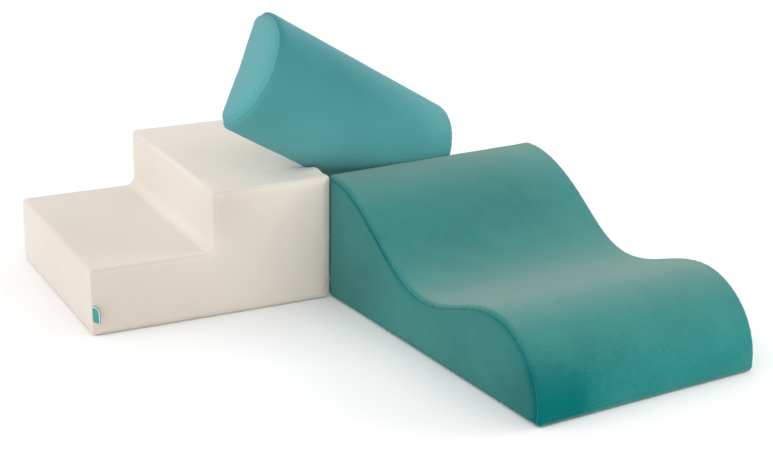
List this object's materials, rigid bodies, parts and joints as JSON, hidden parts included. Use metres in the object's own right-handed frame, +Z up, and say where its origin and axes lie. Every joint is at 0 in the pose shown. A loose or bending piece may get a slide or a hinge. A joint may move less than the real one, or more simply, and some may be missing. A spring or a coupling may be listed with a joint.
{
  "type": "soft play foam climber",
  "caption": "Soft foam play set in zipped velvet covers: a stepped block, a wave-shaped slide block and a half-round block that leans across them.",
  "frame": {"origin": "floor level, at the middle of the footprint of the set as it stands in the picture", "axes": "+Z up, +X from the low step towards the slide block, +Y from the slide's nose towards the stair block, along the longest extent"},
  "size_m": [1.2872, 1.4674, 0.6912],
  "materials": {
    "foam": "open-cell foam, matte",
    "cream_cover": "short velvet pile, matte with a soft sheen",
    "green_cover": "short velvet pile, matte with a soft sheen",
    "teal_cover": "short velvet pile, matte with a soft sheen",
    "cream_tape": "woven tape",
    "green_tape": "woven tape",
    "teal_tape": "woven tape",
    "cream_zip": "nylon coil",
    "green_zip": "nylon coil",
    "teal_zip": "nylon coil",
    "zip_metal": "satin plated zinc",
    "label_ribbon": "woven ribbon"
  },
  "bodies": {
    "stair_block": {"stair_core": "foam", "stair_wrap_panel": "cream_cover", "stair_front_panel": "cream_cover", "stair_back_panel": "cream_cover", "stair_base_panel": "cream_cover", "stair_zip_tape": "cream_tape", "stair_zip_coil": "cream_zip", "stair_zip_stop_front": "zip_metal", "stair_zip_stop_back": "zip_metal", "stair_label": "label_ribbon"},
    "wave_slide": {"slide_core": "foam", "slide_wrap_panel": "green_cover", "slide_left_panel": "green_cover", "slide_right_panel": "green_cover", "slide_base_panel": "green_cover", "slide_zip_tape": "green_tape", "slide_zip_coil": "green_zip", "slide_zip_stop_left": "zip_metal", "slide_zip_stop_right": "zip_metal"},
    "half_round": {"half_round_core": "foam", "half_round_curved_panel": "teal_cover", "half_round_flat_panel": "teal_cover", "half_round_upper_cap": "teal_cover", "half_round_lower_cap": "teal_cover", "half_round_zip_tape": "teal_tape", "half_round_zip_coil": "teal_zip", "half_round_zip_stop_upper": "zip_metal", "half_round_zip_stop_lower": "zip_metal"},
    "stair_zip_runner": {"stair_zip_slider": "zip_metal"},
    "slide_zip_runner": {"slide_zip_slider": "zip_metal"},
    "half_round_zip_runner": {"half_round_zip_slider": "zip_metal"}
  },
  "joints": [
    {"name": "wave_slide_pull", "type": "slide", "parent": "stair_block", "child": "wave_slide", "axis": [0.0852, -0.9964, 0], "range_m": [0, 0.4]},
    {"name": "half_round_lift", "type": "slide", "parent": "stair_block", "child": "half_round", "axis": [0, 0, 1], "range_m": [0, 0.35]},
    {"name": "stair_zip", "type": "slide", "parent": "stair_block", "child": "stair_zip_runner", "axis": [0, -1, 0], "range_m": [0, 0.5224]},
    {"name": "slide_zip", "type": "slide", "parent": "wave_slide", "child": "slide_zip_runner", "axis": [-0.9964, -0.0852, 0], "range_m": [0, 0.5224]},
    {"name": "half_round_zip", "type": "slide", "parent": "half_round", "child": "half_round_zip_runner", "axis": [-0.8564, -0.077, 0.5105], "range_m": [0, 0.5104]}
  ]
}
